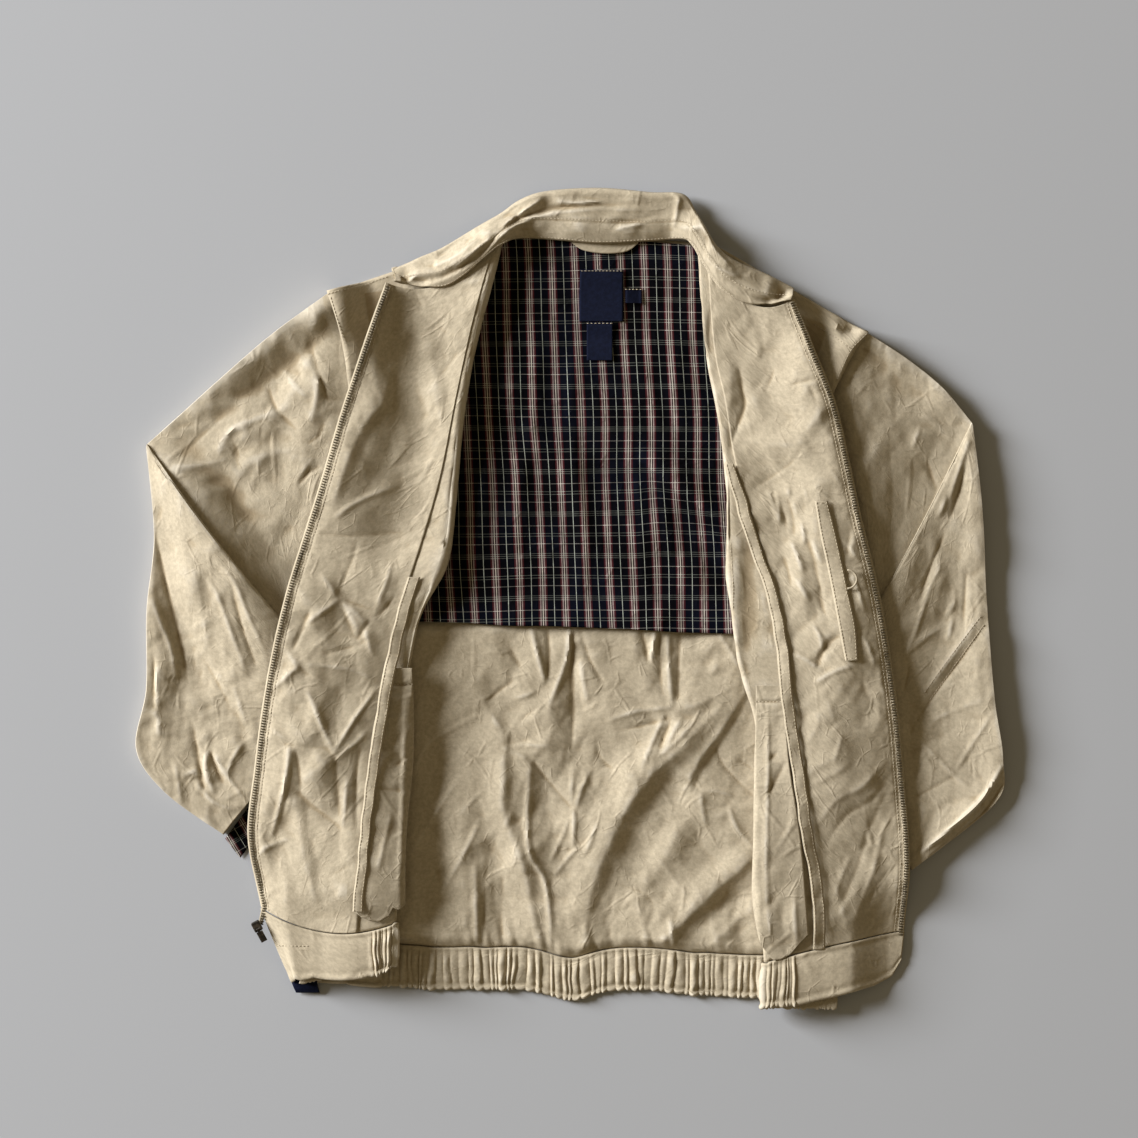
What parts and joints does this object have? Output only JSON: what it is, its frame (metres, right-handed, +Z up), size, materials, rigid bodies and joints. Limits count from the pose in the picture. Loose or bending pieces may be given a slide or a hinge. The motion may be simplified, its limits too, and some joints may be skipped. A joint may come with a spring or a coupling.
{
  "type": "harrington jacket laid open",
  "caption": "Waist-length zip jacket in tan twill, laid open on its back with the inside up, sleeves bent, with a plaid half lining and a gathered waistband.",
  "frame": {"origin": "middle of the whole garment's box on the surface that it lies on", "axes": "+X to the wearer's left, +Y from the waistband to the collar, +Z up from the surface"},
  "size_m": [0.8085, 0.7639, 0.0244],
  "materials": {
    "twill": "matt washed cotton twill",
    "pocketing": "matt plain-woven cotton",
    "plaid": "matt yarn-dyed cotton plaid",
    "navy_tape": "woven tape",
    "zip_metal": "antique brass",
    "dark_metal": "dark plated"
  },
  "bodies": {
    "jacket": {"back_shell": "twill", "back_lining": "plaid", "right_sleeve": "twill", "left_sleeve": "twill", "right_cuff_lining": "plaid", "right_front": "twill", "left_front": "twill", "right_facing": "twill", "left_facing": "twill", "right_pocket_bag": "pocketing", "left_pocket_bag": "pocketing", "inner_pocket_welt": "twill", "inner_pocket_loop": "twill", "waistband_back": "twill", "waistband_right_front": "twill", "waistband_left_front": "twill", "collar": "twill", "hanger_loop": "twill", "neck_label": "navy_tape", "size_tab": "navy_tape", "care_label": "navy_tape", "hem_label": "navy_tape", "right_zip_tape": "zip_metal", "left_zip_tape": "zip_metal", "zip_slider": "dark_metal"},
    "pull_tab": {"zip_pull_tab": "dark_metal"}
  },
  "joints": [
    {"name": "pull_tab_swing", "type": "hinge", "parent": "jacket", "child": "pull_tab", "pos_m": [-0.28728, -0.3058, 0.0153], "axis": [-0.8829, -0.4695, 0], "range_deg": [0, 160]}
  ]
}
